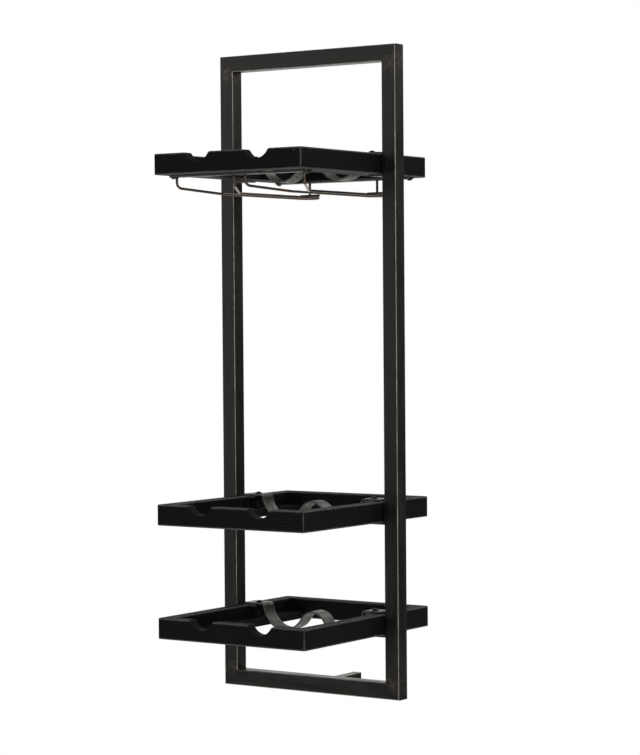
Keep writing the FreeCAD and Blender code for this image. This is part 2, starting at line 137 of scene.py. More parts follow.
class Surface:
    """One material's node tree, with the place of each point in millimetres."""

    def __init__(self, name: str) -> None:
        """Start an empty material.

        Args:
            name: The material's name.
        """
        self.material = bpy.data.materials.new(name)
        self.material.use_nodes = True
        self.tree = self.material.node_tree
        self.tree.nodes.clear()
        source = add_node(self.tree, "ShaderNodeTexCoord")
        scaled = add_node(
            self.tree, "ShaderNodeVectorMath", {"operation": "SCALE"},
            {0: source.outputs["Object"], "Scale": 1 / MM},
        )
        self.place = scaled.outputs[0]
        split = add_node(self.tree, "ShaderNodeSeparateXYZ", inputs={0: self.place})
        self.coordinates = tuple(split.outputs)

    def cloud(
        self,
        wavelengths: tuple[float, float, float],
        detail: float = 3.0,
        seed: float = 0.0,
        distortion: float = 0.0,
    ) -> Socket:
        """A soft random pattern, stretched to a wavelength along each axis.

        Args:
            wavelengths: Millimetres along X, Y and Z.
            detail: How many finer layers are added.
            seed: A shift that makes the pattern differ from others.
            distortion: How much the pattern is warped.

        Returns:
            A value around one half.
        """
        rates = tuple(1 / length for length in wavelengths)
        stretched = add_node(
            self.tree, "ShaderNodeVectorMath", {"operation": "MULTIPLY_ADD"},
            {0: self.place, 1: rates, 2: (seed, seed * 1.7, seed * 2.3)},
        )
        noise = add_node(
            self.tree, "ShaderNodeTexNoise", {"noise_dimensions": "3D"},
            {"Vector": stretched.outputs[0], "Scale": 1.0, "Detail": detail,
             "Roughness": 0.55, "Distortion": distortion},
        )
        return noise.outputs[0]

    def wall_distance(self, bar: Box, axis: Axis) -> Socket:
        """Millimetres to the nearer of a bar's two faces across one axis.

        Args:
            bar: The bar's lowest and highest corners, in metres.
            axis: The axis that the two faces are square to.

        Returns:
            The distance.
        """
        index = axis.value
        low, high = bar[0][index] / MM, bar[1][index] / MM
        from_low = add_node(
            self.tree, "ShaderNodeMath", {"operation": "SUBTRACT"},
            {0: self.coordinates[index], 1: low},
        )
        from_high = add_node(
            self.tree, "ShaderNodeMath", {"operation": "SUBTRACT"},
            {0: high, 1: self.coordinates[index]},
        )
        nearer = add_node(
            self.tree, "ShaderNodeMath", {"operation": "MINIMUM"},
            {0: from_low.outputs[0], 1: from_high.outputs[0]},
        )
        return nearer.outputs[0]

    def bar_edge_distance(self, bar: Box, along: Axis) -> Socket:
        """Millimetres from the nearest long edge of a square bar's surface.

        Args:
            bar: The bar's lowest and highest corners, in metres.
            along: The bar's length.

        Returns:
            The distance.
        """
        across = [axis for axis in Axis if axis is not along]
        distances = [self.wall_distance(bar, axis) for axis in across]
        edge = add_node(
            self.tree, "ShaderNodeMath", {"operation": "MAXIMUM"},
            {0: distances[0], 1: distances[1]},
        )
        return edge.outputs[0]

    def block_edge_distance(self, block: Box) -> Socket:
        """Millimetres from the nearest edge of a block's surface.

        Of the distances to the three pairs of faces, the least is nothing on
        the surface, and the middle one is the distance to the nearest edge.

        Args:
            block: The block's lowest and highest corners, in metres.

        Returns:
            The distance.
        """
        first, second, third = (self.wall_distance(block, axis) for axis in Axis)
        low = add_node(
            self.tree, "ShaderNodeMath", {"operation": "MINIMUM"}, {0: first, 1: second}
        )
        high = add_node(
            self.tree, "ShaderNodeMath", {"operation": "MAXIMUM"}, {0: first, 1: second}
        )
        capped = add_node(
            self.tree, "ShaderNodeMath", {"operation": "MINIMUM"},
            {0: high.outputs[0], 1: third},
        )
        middle = add_node(
            self.tree, "ShaderNodeMath", {"operation": "MAXIMUM"},
            {0: low.outputs[0], 1: capped.outputs[0]},
        )
        return middle.outputs[0]

    def opening_edge_distance(self, opening: Box) -> Socket:
        """Millimetres from the nearest upper or lower edge of a tray's opening.

        Args:
            opening: The opening's lowest and highest corners, in metres.

        Returns:
            The distance.
        """
        inside = add_node(
            self.tree, "ShaderNodeMath", {"operation": "MINIMUM"},
            {0: self.wall_distance(opening, Axis.X), 1: self.wall_distance(opening, Axis.Y)},
        )
        in_plan = add_node(
            self.tree, "ShaderNodeMath", {"operation": "ABSOLUTE"}, {0: inside.outputs[0]}
        )
        edge = add_node(
            self.tree, "ShaderNodeMath", {"operation": "MAXIMUM"},
            {0: in_plan.outputs[0], 1: self.wall_distance(opening, Axis.Z)},
        )
        return edge.outputs[0]

    def worn(self, distance: Socket, reach: float, raggedness: float, seed: float) -> Socket:
        """A ragged mask of the wear along an edge.

        Args:
            distance: Millimetres from the edge.
            reach: How far the wear reaches in, in millimetres.
            raggedness: How much that changes along the edge, in millimetres.
            seed: A shift that makes the wear differ from others.

        Returns:
            One on the edge, falling to nothing at the reach.
        """
        patchy = self.cloud((14.0, 14.0, 14.0), 5.0, seed)
        shifted = add_node(
            self.tree, "ShaderNodeMath", {"operation": "MULTIPLY_ADD"},
            {0: patchy, 1: 2 * raggedness, 2: -raggedness},
        )
        ragged = add_node(
            self.tree, "ShaderNodeMath", {"operation": "ADD"},
            {0: distance, 1: shifted.outputs[0]},
        )
        mask = add_node(
            self.tree, "ShaderNodeMapRange", {"interpolation_type": "SMOOTHSTEP"},
            {"Value": ragged.outputs[0], "From Min": reach, "From Max": reach * 0.3},
        )
        return mask.outputs[0]

    def blend(self, share: Socket, first: Any, second: Any) -> Socket:
        """One colour giving way to another.

        Args:
            share: Nothing for the first colour, one for the second.
            first: A colour or a socket.
            second: A colour or a socket.

        Returns:
            The mixed colour.
        """
        mixed = add_node(
            self.tree, "ShaderNodeMix", {"data_type": "RGBA", "clamp_factor": True},
            {0: share, 6: first, 7: second},
        )
        return mixed.outputs[2]

    def relief(self, height: Socket, depth: float, under: Socket | None = None) -> Socket:
        """A fine relief of a real depth.

        Args:
            height: A pattern from nothing to one.
            depth: The pattern's depth in millimetres.
            under: The normal of a coarser relief beneath it.

        Returns:
            The bumped normal.
        """
        inputs: dict[int | str, Any] = {"Strength": 1.0, "Distance": depth * MM, "Height": height}
        if under is not None:
            inputs["Normal"] = under
        return add_node(self.tree, "ShaderNodeBump", inputs=inputs).outputs[0]

    def shade(self, inputs: dict[int | str, Any]) -> bpy.types.Material:
        """Close the tree with its shader.

        Args:
            inputs: What goes into the Principled shader.

        Returns:
            The finished material.
        """
        shader = add_node(self.tree, "ShaderNodeBsdfPrincipled", inputs=inputs)
        add_node(
            self.tree, "ShaderNodeOutputMaterial", inputs={"Surface": shader.outputs[0]}
        )
        return self.material


# ----------------------------------------------------------------- finishes

@dataclass(frozen=True)
class MillSteelTube:
    """Welded steel tube, mill finish, rubbed dark and clear lacquered.

    The eye sees a warm near-black metal with faint drawing streaks along the
    tube, paler rubbed long edges, and straw and grey tints beside the welds.
    """

    name: str
    bar: Box
    along: Axis
    weld_heights: tuple[float, ...] = ()
    seed: float = 0.0
    dark: str = "504f4d"
    pale: str = "656361"
    bare: str = "d2ccbf"
    tint: str = "8d8273"

    def build(self) -> bpy.types.Material:
        """Make the material.

        Returns:
            The material for one tube.
        """
        surface = Surface(self.name)
        tree = surface.tree
        # Drawing lines are finer than a millimetre; these are as coarse as shows.
        streak_lengths = [1.4, 1.4, 1.4]
        streak_lengths[self.along.value] = 170.0
        patch_lengths = [16.0, 16.0, 16.0]
        patch_lengths[self.along.value] = 75.0
        streaks = surface.cloud(tuple(streak_lengths), 4.0, self.seed)
        patches = surface.cloud(tuple(patch_lengths), 4.0, self.seed + 3.1, 0.6)
        grit = surface.cloud((0.7, 0.7, 0.7), 2.0, self.seed)
        lines = add_node(
            tree, "ShaderNodeMapRange", {},
            {"Value": streaks, "From Min": 0.36, "From Max": 0.66},
        ).outputs[0]
        cloudy = add_node(
            tree, "ShaderNodeMapRange", {},
            {"Value": patches, "From Min": 0.34, "From Max": 0.7},
        ).outputs[0]
        shade_share = add_node(
            tree, "ShaderNodeMath", {"operation": "MULTIPLY"}, {0: lines, 1: cloudy}
        ).outputs[0]
        colour = surface.blend(shade_share, linear(self.dark), linear(self.pale))
        if self.weld_heights:
            colour = surface.blend(self.weld_mask(surface), colour, linear(self.tint))
        edge = surface.bar_edge_distance(self.bar, self.along)
        wear = surface.worn(edge, 1.5, 0.6, self.seed)
        colour = surface.blend(wear, colour, linear(self.bare))
        roughness = add_node(
            tree, "ShaderNodeMapRange", {},
            {"Value": patches, "From Min": 0.3, "From Max": 0.7, "To Min": 0.34, "To Max": 0.46},
        ).outputs[0]
        normal = surface.relief(streaks, 0.03)
        normal = surface.relief(grit, 0.012, normal)
        return surface.shade({
            "Base Color": colour, "Metallic": 1.0, "Roughness": roughness, "Normal": normal,
        })

    def weld_mask(self, surface: Surface) -> Socket:
        """Where the heat of the corner welds has tinted the steel.

        Args:
            surface: The material that the mask is for.

        Returns:
            One beside a weld, falling to nothing a thumb's width away.
        """
        tree = surface.tree
        height = surface.coordinates[Axis.Z.value]
        nearest: Socket | None = None
        for weld in self.weld_heights:
            gap = add_node(
                tree, "ShaderNodeMath", {"operation": "SUBTRACT"}, {0: height, 1: weld / MM}
            )
            size = add_node(
                tree, "ShaderNodeMath", {"operation": "ABSOLUTE"}, {0: gap.outputs[0]}
            ).outputs[0]
            if nearest is not None:
                size = add_node(
                    tree, "ShaderNodeMath", {"operation": "MINIMUM"}, {0: size, 1: nearest}
                ).outputs[0]
            nearest = size
        smudges = surface.cloud((9.0, 9.0, 7.0), 5.0, self.seed + 7.7, 1.0)
        near = add_node(
            tree, "ShaderNodeMapRange", {"interpolation_type": "SMOOTHSTEP"},
            {"Value": nearest, "From Min": 24.0, "From Max": 3.0},
        )
        smudged = add_node(
            tree, "ShaderNodeMapRange", {},
            {"Value": smudges, "From Min": 0.42, "From Max": 0.66, "To Max": 0.6},
        )
        mask = add_node(
            tree, "ShaderNodeMath", {"operation": "MULTIPLY"},
            {0: near.outputs[0], 1: smudged.outputs[0]},
        )
        return mask.outputs[0]


@dataclass(frozen=True)
class StainedPine:
    """Planed pine, stained black and left matte.

    The eye sees a soft black with faint darker growth lines along the board,
    short open pores, rings on the end grain and greyer rubbed edges.
    """

    name: str
    board: Box
    grain: Axis
    outline: Box
    opening: Box
    seed: float = 0.0
    filler: Vector | None = None
    stain: str = "19191b"
    pale: str = "222225"
    line: str = "121214"
    rubbed: str = "7c7a78"
    putty: str = "5b5956"
    ring_width: float = 3.4
    ring_drift: float = 5.0
    heart_offset: tuple[float, float, float] = (21.0, 17.0, -46.0)

    def growth_lines(self, surface: Surface) -> Socket:
        """The growth rings, as they meet the long faces and the ends.

        Args:
            surface: The material that the lines are for.

        Returns:
            A saw-tooth from nothing to one, across each ring.
        """
        tree = surface.tree
        lengths = [34.0, 34.0, 34.0]
        lengths[self.grain.value] = 330.0
        drift = surface.cloud(tuple(lengths), 2.0, self.seed, 0.4)
        middle = (self.board[0] + self.board[1]) / (2 * MM)
        # The tree's heart lies a little under the board and off to one side.
        heart = list(middle + Vector(self.heart_offset))
        heart[self.grain.value] = 0.0
        mask = [1.0, 1.0, 1.0]
        mask[self.grain.value] = 0.0
        flat = add_node(
            tree, "ShaderNodeVectorMath", {"operation": "MULTIPLY"},
            {0: surface.place, 1: tuple(mask)},
        )
        radius = add_node(
            tree, "ShaderNodeVectorMath", {"operation": "DISTANCE"},
            {0: flat.outputs[0], 1: tuple(heart)},
        )
        rings = add_node(
            tree, "ShaderNodeMath", {"operation": "MULTIPLY"},
            {0: radius.outputs["Value"], 1: 1 / self.ring_width},
        )
        warped = add_node(
            tree, "ShaderNodeMath", {"operation": "MULTIPLY_ADD"},
            {0: drift, 1: self.ring_drift, 2: rings.outputs[0]},
        )
        return add_node(
            tree, "ShaderNodeMath", {"operation": "FRACT"}, {0: warped.outputs[0]}
        ).outputs[0]

    def filler_mask(self, surface: Surface) -> Socket:
        """The spot of filler over a pin.

        Args:
            surface: The material that the mask is for.

        Returns:
            One on the spot, falling to nothing 2.5 mm from its middle.
        """
        away = add_node(
            surface.tree, "ShaderNodeVectorMath", {"operation": "DISTANCE"},
            {0: surface.place, 1: tuple(self.filler / MM)},
        )
        ragged = surface.cloud((2.0, 2.0, 2.0), 3.0, self.seed)
        reach = add_node(
            surface.tree, "ShaderNodeMath", {"operation": "MULTIPLY_ADD"},
            {0: ragged, 1: 1.5, 2: away.outputs["Value"]},
        )
        spot = add_node(
            surface.tree, "ShaderNodeMapRange", {"interpolation_type": "SMOOTHSTEP"},
            {"Value": reach.outputs[0], "From Min": 3.2, "From Max": 1.9, "To Max": 0.8},
        )
        return spot.outputs[0]

    def build(self) -> bpy.types.Material:
        """Make the material.

        Returns:
            The material for one board.
        """
        surface = Surface(self.name)
        tree = surface.tree
        rings = self.growth_lines(surface)
        late = add_node(
            tree, "ShaderNodeMapRange", {"interpolation_type": "SMOOTHSTEP"},
            {"Value": rings, "From Min": 0.45, "From Max": 0.95},
        ).outputs[0]
        # Pores are a tenth of a millimetre wide; these are as coarse as shows.
        lengths = [0.6, 0.6, 0.6]
        lengths[self.grain.value] = 11.0
        fibres = surface.cloud(tuple(lengths), 3.0, self.seed + 1.3)
        pores = add_node(
            tree, "ShaderNodeMapRange", {},
            {"Value": fibres, "From Min": 0.6, "From Max": 0.72},
        ).outputs[0]
        blotches = surface.cloud((40.0, 40.0, 28.0), 3.0, self.seed + 5.0)
        base = surface.blend(blotches, linear(self.stain), linear(self.pale))
        base = surface.blend(late, base, linear(self.line))
        edge = add_node(
            tree, "ShaderNodeMath", {"operation": "MINIMUM"},
            {0: surface.block_edge_distance(self.outline),
             1: surface.opening_edge_distance(self.opening)},
        ).outputs[0]
        wear = surface.worn(edge, 2.9, 1.2, self.seed + 2.0)
        rub = add_node(
            tree, "ShaderNodeMath", {"operation": "MULTIPLY"}, {0: wear, 1: 0.8}
        ).outputs[0]
        base = surface.blend(rub, base, linear(self.rubbed))
        base = surface.blend(pores, base, linear(self.line))
        if self.filler is not None:
            base = surface.blend(self.filler_mask(surface), base, linear(self.putty))
        roughness = add_node(
            tree, "ShaderNodeMapRange", {}, {"Value": wear, "To Min": 0.66, "To Max": 0.5}
        ).outputs[0]
        normal = surface.relief(late, 0.05)
        sunk = add_node(
            tree, "ShaderNodeMath", {"operation": "SUBTRACT"}, {0: 1.0, 1: pores}
        ).outputs[0]
        normal = surface.relief(sunk, 0.06, normal)
        return surface.shade({
            "Base Color": base, "Roughness": roughness, "Normal": normal,
            "IOR": 1.5, "Specular IOR Level": 0.15,
        })


@dataclass(frozen=True)
class HotRolledBar:
    """Hot-rolled flat bar, descaled, oiled and bent.

    The eye sees a mid-grey steel with long rolling marks, brown-grey patches
    of scale that was left on, and bright rubbed edges.
    """

    name: str
    bar: Box
    along: Axis = Axis.X
    seed: float = 0.0
    steel: str = "82807b"
    scale: str = "625f5b"
    bare: str = "8a867f"

    def build(self) -> bpy.types.Material:
        """Make the material.

        Returns:
            The material for one bar.
        """
        surface = Surface(self.name)
        tree = surface.tree
        lengths = [1.1, 1.1, 1.1]
        lengths[self.along.value] = 38.0
        marks = surface.cloud(tuple(lengths), 4.0, self.seed)
        patches = surface.cloud((17.0, 12.0, 17.0), 5.0, self.seed + 4.0, 0.8)
        scaled = add_node(
            tree, "ShaderNodeMapRange", {"interpolation_type": "SMOOTHSTEP"},
            {"Value": patches, "From Min": 0.42, "From Max": 0.62},
        ).outputs[0]
        streaked = surface.blend(marks, linear(self.scale), linear(self.steel))
        colour = surface.blend(scaled, streaked, linear(self.scale))
        edge = surface.wall_distance(self.bar, Axis.Y)
        wear = surface.worn(edge, 1.2, 0.5, self.seed)
        colour = surface.blend(wear, colour, linear(self.bare))
        roughness = add_node(
            tree, "ShaderNodeMapRange", {},
            {"Value": patches, "From Min": 0.35, "From Max": 0.65,
             "To Min": 0.36, "To Max": 0.54},
        ).outputs[0]
        normal = surface.relief(marks, 0.03)
        pits = surface.cloud((0.9, 0.9, 0.9), 2.0, self.seed)
        normal = surface.relief(pits, 0.02, normal)
        return surface.shade({
            "Base Color": colour, "Metallic": 1.0, "Roughness": roughness, "Normal": normal,
        })


# Brackets and strips keep more of their scale than the straps do.
DARK_BAR = {"steel": "64615c", "scale": "56534f", "bare": "827e76"}


@dataclass(frozen=True)
class DrawnWire:
    """Drawn steel wire, blackened and wiped back.

    The eye sees a dark glossy wire with bronze-brown patches where the
    blackening is thin, and fine scratches.
    """

    name: str
    dark: str = "6f6964"
    bronze: str = "8a7361"
    seed: float = 0.0

    def build(self) -> bpy.types.Material:
        """Make the material.

        Returns:
            The material for the wires.
        """
        surface = Surface(self.name)
        tree = surface.tree
        patches = surface.cloud((9.0, 26.0, 9.0), 4.0, self.seed, 0.5)
        thin = add_node(
            tree, "ShaderNodeMapRange", {"interpolation_type": "SMOOTHSTEP"},
            {"Value": patches, "From Min": 0.44, "From Max": 0.64},
        ).outputs[0]
        colour = surface.blend(thin, linear(self.dark), linear(self.bronze))
        scratches = surface.cloud((0.6, 7.0, 0.6), 3.0, self.seed)
        roughness = add_node(
            tree, "ShaderNodeMapRange", {},
            {"Value": scratches, "From Min": 0.3, "From Max": 0.7, "To Min": 0.2, "To Max": 0.38},
        ).outputs[0]
        normal = surface.relief(scratches, 0.01)
        return surface.shade({
            "Base Color": colour, "Metallic": 1.0, "Roughness": roughness, "Normal": normal,
        })


@dataclass(frozen=True)
class BlackOxide:
    """Steel fasteners with a black-oxide finish.

    The eye sees a satin black with a fine grit and a few rubbed grey specks.
    """

    name: str
    black: str = "19191a"
    rubbed: str = "4a4845"

    def build(self) -> bpy.types.Material:
        """Make the material.

        Returns:
            The material for bolts, nuts or screws.
        """
        surface = Surface(self.name)
        tree = surface.tree
        grit = surface.cloud((0.5, 0.5, 0.5), 3.0)
        specks = surface.cloud((2.2, 2.2, 2.2), 5.0, 2.0)
        share = add_node(
            tree, "ShaderNodeMapRange", {},
            {"Value": specks, "From Min": 0.58, "From Max": 0.72},
        ).outputs[0]
        colour = surface.blend(share, linear(self.black), linear(self.rubbed))
        roughness = add_node(
            tree, "ShaderNodeMapRange", {}, {"Value": grit, "To Min": 0.3, "To Max": 0.5}
        ).outputs[0]
        return surface.shade({
            "Base Color": colour, "Metallic": 0.7, "Roughness": roughness,
            "Normal": surface.relief(grit, 0.01),
        })


@dataclass(frozen=True)
class WeldMetal:
    """A weld bead as it was left, brushed once and lacquered over.

    The eye sees rippled grey steel with straw and blue-grey heat tints.
    """

    name: str
    grey: str = "4b4640"
    straw: str = "7b6648"
    blue: str = "3a3f47"

    def build(self) -> bpy.types.Material:
        """Make the material.

        Returns:
            The material for weld beads.
        """
        surface = Surface(self.name)
        tree = surface.tree
        tints = surface.cloud((5.0, 5.0, 5.0), 3.0, 1.0, 0.8)
        warm = add_node(
            tree, "ShaderNodeMapRange", {}, {"Value": tints, "From Min": 0.52, "From Max": 0.7}
        ).outputs[0]
        cold = add_node(
            tree, "ShaderNodeMapRange", {}, {"Value": tints, "From Min": 0.46, "From Max": 0.32}
        ).outputs[0]
        colour = surface.blend(warm, linear(self.grey), linear(self.straw))
        colour = surface.blend(cold, colour, linear(self.blue))
        spatter = surface.cloud((0.8, 0.8, 0.8), 3.0)
        return surface.shade({
            "Base Color": colour, "Metallic": 0.9, "Roughness": 0.42,
            "Normal": surface.relief(spatter, 0.06),
        })


@dataclass(frozen=True)
class MouldedPolyethylene:
    """A moulded black polyethylene end cap.

    The eye sees a soft black plastic with the mould's fine spark texture.
    """

    name: str
    black: str = "161617"
    scuffed: str = "2b2b2d"

    def build(self) -> bpy.types.Material:
        """Make the material.

        Returns:
            The material for the cap.
        """
        surface = Surface(self.name)
        texture = surface.cloud((0.6, 0.6, 0.6), 2.0)
        scuffs = surface.cloud((3.0, 3.0, 3.0), 4.0, 1.0)
        colour = surface.blend(scuffs, linear(self.black), linear(self.scuffed))
        return surface.shade({
            "Base Color": colour, "Roughness": 0.55, "IOR": 1.51,
            "Normal": surface.relief(texture, 0.03),
        })


@dataclass(frozen=True)
class TurnedBeech:
    """Turned beech dowel, raw and fluted by its grain.

    The eye sees pale pinkish wood with short darker flecks along it.
    """

    name: str
    pale: str = "c9a27a"
    fleck: str = "9a6f48"

    def build(self) -> bpy.types.Material:
        """Make the material.

        Returns:
            The material for the dowels.
        """
        surface = Surface(self.name)
        flecks = surface.cloud((0.5, 2.5, 0.5), 3.0)
        share = add_node(
            surface.tree, "ShaderNodeMapRange", {},
            {"Value": flecks, "From Min": 0.5, "From Max": 0.68},
        ).outputs[0]
        colour = surface.blend(share, linear(self.pale), linear(self.fleck))
        return surface.shade({
            "Base Color": colour, "Roughness": 0.6, "IOR": 1.5,
            "Normal": surface.relief(flecks, 0.03),
        })


# --------------------------------------------------------------- dressing

def dress(node: str, material: bpy.types.Material) -> None:
    """Give a CAD node its material, in every slot it has.

    Args:
        node: The node's name.
        material: The finish.
    """
    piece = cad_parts[node]
    if not piece.material_slots:
        piece.data.materials.append(material)
    for holder in piece.material_slots:
        holder.link = "OBJECT"
        holder.material = material
    LOG.info("dressed %s in %s", node, material.name)


def node_box(node: str) -> Box:
    """A CAD node's lowest and highest corners, in metres.

    Args:
        node: The node's name.

    Returns:
        The two corners.
    """
    low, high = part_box(node)
    return Vector(low), Vector(high)


@dataclass
class WeldRun:
    """A run of weld along a line of points, with the ripples of its pool."""

    points: list[Vector]
    radius: float = 0.0022
    ripple_pitch: float = 0.0016
    ripple: float = 0.16
    wander: float = 0.0002
    sides: int = 12
    seed: int = 1
    closed: bool = False

    def stations(self) -> list[Vector]:
        """Evenly spaced places along the run, four to a ripple.

        Returns:
            The places.
        """
        step = self.ripple_pitch / 4
        places: list[Vector] = []
        points = self.points + self.points[:1] if self.closed else self.points
        for start, end in zip(points, points[1:]):
            count = max(1, round((end - start).length / step))
            places += [start.lerp(end, index / count) for index in range(count)]
        if not self.closed:
            places.append(points[-1])
        return places

    def rings(self) -> list[list[Vector]]:
        """The bead's cross-sections.

        Returns:
            A ring of points for each station.
        """
        rng = random.Random(self.seed)
        places = self.stations()
        count = len(places)
        rings = []
        for index, place in enumerate(places):
            before = places[index - 1] if index or self.closed else place
            after = places[(index + 1) % count] if index < count - 1 or self.closed else place
            forward = (after - before).normalized()
            aside = forward.orthogonal().normalized()
            if abs(forward.z) < 0.9:
                aside = forward.cross(Vector((0, 0, 1))).normalized()
            upward = forward.cross(aside)
            swell = 1 + self.ripple * abs(math.sin(math.pi * index / 4)) + rng.uniform(-0.05, 0.05)
            taper = 1.0
            if not self.closed:
                taper = min(1.0, 0.25 + min(index, count - 1 - index) / 5)
            shift = aside * rng.uniform(-self.wander, self.wander)
            size = self.radius * swell * taper
            ring = []
            for corner in range(self.sides):
                angle = 2 * math.pi * corner / self.sides
                reach = aside * math.cos(angle) + upward * math.sin(angle)
                ring.append(place + shift + reach * size)
            rings.append(ring)
        return rings


def swept_mesh(name: str, runs: list[WeldRun], material: bpy.types.Material) -> bpy.types.Object:
    """Join weld runs into one smooth-shaded object.

    Args:
        name: The object's name.
        runs: The runs of weld.
        material: The finish.

    Returns:
        The object, in the scene.
    """
    corners: list[Vector] = []
    faces: list[tuple[int, ...]] = []
    for run in runs:
        rings = run.rings()
        first = len(corners)
        sides = run.sides
        for ring in rings:
            corners += ring
        spans = len(rings) if run.closed else len(rings) - 1
        for span in range(spans):
            here = first + span * sides
            there = first + (span + 1) % len(rings) * sides
            for side in range(sides):
                beside = (side + 1) % sides
                faces.append((here + side, here + beside, there + beside, there + side))
        if not run.closed:
            last = first + (len(rings) - 1) * sides
            faces.append(tuple(reversed(range(first, first + sides))))
            faces.append(tuple(range(last, last + sides)))
    mesh = bpy.data.meshes.new(name)
    mesh.from_pydata([tuple(corner) for corner in corners], [], faces)
    mesh.validate()
    mesh.update()
    for polygon in mesh.polygons:
        polygon.use_smooth = True
    mesh.materials.append(material)
    piece = bpy.data.objects.new(name, mesh)
    bpy.context.scene.collection.objects.link(piece)
    return piece


def weld(name: str, runs: list[WeldRun], slot: str) -> None:
    """Add a sub-assembly's welds as one piece on the root body.

    Args:
        name: The piece's name.
        runs: The runs of weld.
        slot: A slot name; it is not used.
    """
    piece = swept_mesh(name, runs, WeldMetal(name + "_metal").build())
    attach(piece, "root")
    LOG.info("added %s, %d runs", name, len(runs))


# ----------------------------------------------------------- sub-assemblies

@dataclass
class TubeFrame:
    """The tall welded rectangle of square tube."""

    weld_radius: float = 0.0018
    end_gap: float = 0.002

    def dress(self) -> None:
        """Finish the four tubes."""
        left = node_box("upright_left")
        right = node_box("upright_right")
        top = node_box("top_rail")
        bottom = node_box("bottom_rail")
        weld_heights = (bottom[1].z, top[0].z)
        for name, bar in (("upright_left", left), ("upright_right", right)):
            finish = MillSteelTube(name + "_mill_steel", bar, Axis.Z, weld_heights,
                                   seed=0.0 if name.endswith("left") else 5.0)
            dress(name, finish.build())
        for name, bar in (("top_rail", top), ("bottom_rail", bottom)):
            finish = MillSteelTube(name + "_mill_steel", bar, Axis.X,
                                   seed=11.0 if name.startswith("top") else 17.0)
            dress(name, finish.build())
        LOG.info("frame is %.0f mm high, tube %.0f mm",
                 (right[1].z - left[0].z) / MM, (top[1].z - top[0].z) / MM)

    def add_welds(self) -> None:
        """Run a bead down each inner corner."""
        left = node_box("upright_left")
        right = node_box("upright_right")
        top = node_box("top_rail")
        bottom = node_box("bottom_rail")
        runs = []
        for side, x in ((1, left[1].x), (-1, right[0].x)):
            for rise, z in ((1, bottom[1].z), (-1, top[0].z)):
                start = Vector((x, left[0].y + self.end_gap, z))
                end = Vector((x, left[1].y - self.end_gap, z))
                runs.append(WeldRun([start, end], self.weld_radius, seed=len(runs)))
        weld("frame_corner_welds", runs, "frame_steel")


@dataclass
class WallArm:
    """The stand-off arm and its cap."""

    weld_radius: float = 0.0013

    def dress(self) -> None:
        """Finish the arm and its cap."""
        bar = node_box("wall_arm")
        finish = MillSteelTube("wall_arm_mill_steel", bar, Axis.Y, seed=23.0)
        dress("wall_arm", finish.build())
        dress("wall_arm_cap", MouldedPolyethylene("cap_moulded_polyethylene").build())

    def add_welds(self) -> None:
        """Weld the arm to the back of the bottom rail, on three sides."""
        low, high = node_box("wall_arm")
        y = low.y
        points = [
            Vector((low.x, y, low.z + 0.003)), Vector((low.x, y, high.z)),
            Vector((high.x, y, high.z)), Vector((high.x, y, low.z + 0.003)),
        ]
        weld("wall_arm_weld", [WeldRun(points, self.weld_radius, seed=40)], "frame_steel")


@dataclass
class Tray:
    """Four black boards, a bent bottle cradle and the two brackets that carry it."""

    level: Level
    weld_radius: float = 0.0016
    pin_inset: float = 0.013
    pin_drop: float = 0.0045

    def name(self, piece: str) -> str:
        """A node of this tray.

        Args:
            piece: The piece's name without its level.

        Returns:
            The node's name.
        """
        return f"{self.level.value}_{piece}"

    def seed(self) -> float:
        """A shift that makes this tray's patterns its own."""
        return 31.0 * (1 + list(Level).index(self.level))

    def dress(self) -> None:
        """Finish the boards, the cradle and the brackets."""
        grains = {
            "front_board": Axis.X, "rear_board": Axis.X,
            "left_board": Axis.Y, "right_board": Axis.Y, "side_cleats": Axis.Y,
        }
        boxes = {place: node_box(self.name(place)) for place in grains}
        front, rear = boxes["front_board"], boxes["rear_board"]
        left, right = boxes["left_board"], boxes["right_board"]
        outline = (front[0], rear[1])
        opening = (Vector((left[1].x, front[1].y, left[0].z)),
                   Vector((right[0].x, rear[0].y, left[1].z)))
        pin = Vector((front[1].x - self.pin_inset, front[0].y, front[1].z - self.pin_drop))
        for order, (place, grain) in enumerate(grains.items()):
            node = self.name(place)
            filled = place == "front_board" and self.level is Level.UPPER
            finish = StainedPine(node + "_stained_pine", boxes[place], grain, outline, opening,
                                 self.seed() + 2.9 * order, pin if filled else None)
            dress(node, finish.build())
        strap = self.name("bottle_strap")
        dress(strap, HotRolledBar(strap + "_rolled_steel", node_box(strap),
                                  seed=self.seed()).build())
        for side in Side:
            bracket = self.name("bracket_" + side.name.lower())
            finish = HotRolledBar(
                bracket + "_rolled_steel", node_box(bracket), seed=self.seed() + side.value,
                **DARK_BAR,
            )
            dress(bracket, finish.build())

    def add_welds(self) -> None:
        """Run a bead under each bracket, where it meets its upright."""
        runs = []
        for side in Side:
            low, high = node_box(self.name("bracket_" + side.name.lower()))
            upright = node_box("upright_" + side.name.lower())
            x = high.x if side is Side.RIGHT else low.x
            z = low.z
            start = Vector((x, upright[0].y + 0.003, z))
            end = Vector((x, upright[1].y - 0.002, z))
            runs.append(WeldRun([start, end], self.weld_radius, seed=50 + len(runs)))
        weld(self.name("bracket_welds"), runs, "bracket_steel")


@dataclass
class Fasteners:
    """Bolts, nuts, screws and dowels."""

    def dress(self) -> None:
        """Finish the fasteners."""
        oxide = BlackOxide("fastener_black_oxide").build()
        for node in ("strap_bolts", "strap_nuts", "strip_screws"):
            dress(node, oxide)
        dress("tray_dowels", TurnedBeech("dowel_turned_beech").build())


